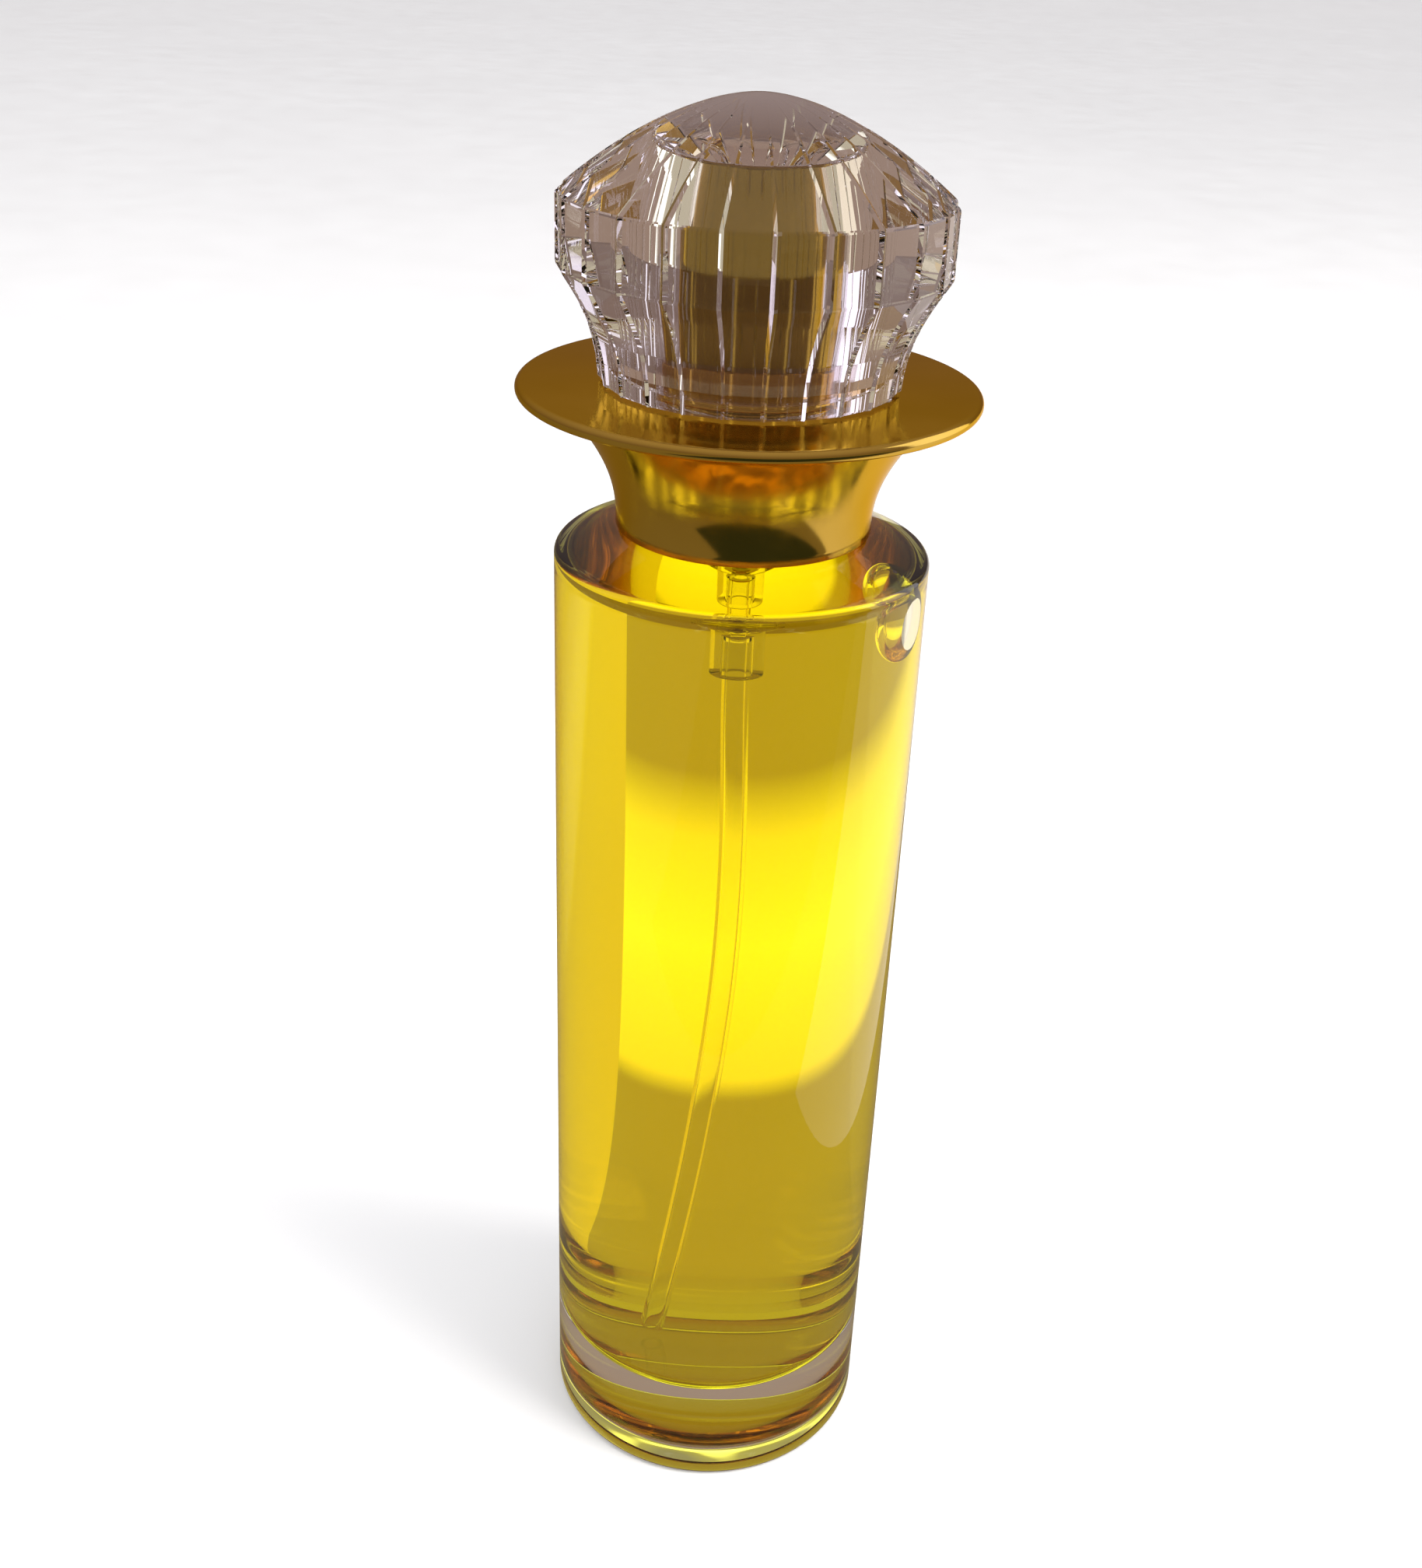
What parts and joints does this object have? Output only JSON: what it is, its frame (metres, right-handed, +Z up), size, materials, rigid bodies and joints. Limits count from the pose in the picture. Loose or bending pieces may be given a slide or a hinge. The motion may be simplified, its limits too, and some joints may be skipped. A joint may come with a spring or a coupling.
{
  "type": "perfume bottle",
  "caption": "Round clear glass perfume bottle of yellow liquid, with a crimped spray pump, a flared gold collar with a wide disc, and a clear faceted lift-off cap.",
  "frame": {"origin": "centre of the face the bottle stands on", "axes": "+Z up along the bottle's axis, the air bubble under the shoulder is towards +X and -Y, the nozzle faces +Y, +X is to the right"},
  "size_m": [0.0394, 0.0394, 0.1356],
  "materials": {
    "bottle_glass": "gloss",
    "perfume_liquid": "gloss",
    "clear_plastic": "gloss",
    "natural_plastic": "satin",
    "white_plastic": "satin",
    "spring_steel": "polished",
    "black_rubber": "matte",
    "crimp_aluminium": "satin",
    "gold_aluminium": "polished",
    "gold_plastic": "gloss",
    "cap_clear": "gloss"
  },
  "bodies": {
    "bottle": {"glass_bottle": "bottle_glass", "perfume": "perfume_liquid", "dip_tube": "clear_plastic", "pump_housing": "natural_plastic", "return_spring": "spring_steel", "stem_seal": "black_rubber", "turret": "white_plastic", "neck_gasket": "black_rubber", "crimp_ferrule": "crimp_aluminium", "collar_liner": "natural_plastic", "collar": "gold_aluminium"},
    "inlet_valve": {"inlet_ball": "spring_steel"},
    "plunger": {"stem": "white_plastic", "piston": "natural_plastic", "valve_spring": "spring_steel"},
    "spray_head": {"actuator_core": "white_plastic", "actuator_shell": "gold_aluminium", "nozzle_insert": "gold_plastic"},
    "cap": {"cap_dome": "cap_clear", "cap_grip_ring": "cap_clear"}
  },
  "joints": [
    {"name": "pump_press", "type": "slide", "parent": "bottle", "child": "plunger", "axis": [0, 0, 1], "range_m": [-0.0042, 0], "stiffness_N_per_m": 1500, "springref_m": 0.003, "deforming": ["return_spring"]},
    {"name": "head_turn", "type": "hinge", "parent": "plunger", "child": "spray_head", "pos_m": [0, 0, 0.1165], "axis": [0, 0, 1], "continuous": true},
    {"name": "inlet_lift", "type": "slide", "parent": "bottle", "child": "inlet_valve", "axis": [0, 0, 1], "range_m": [0, 0.0008]},
    {"name": "cap_lift", "type": "slide", "parent": "bottle", "child": "cap", "axis": [0, 0, 1], "range_m": [0, 0.045]}
  ]
}
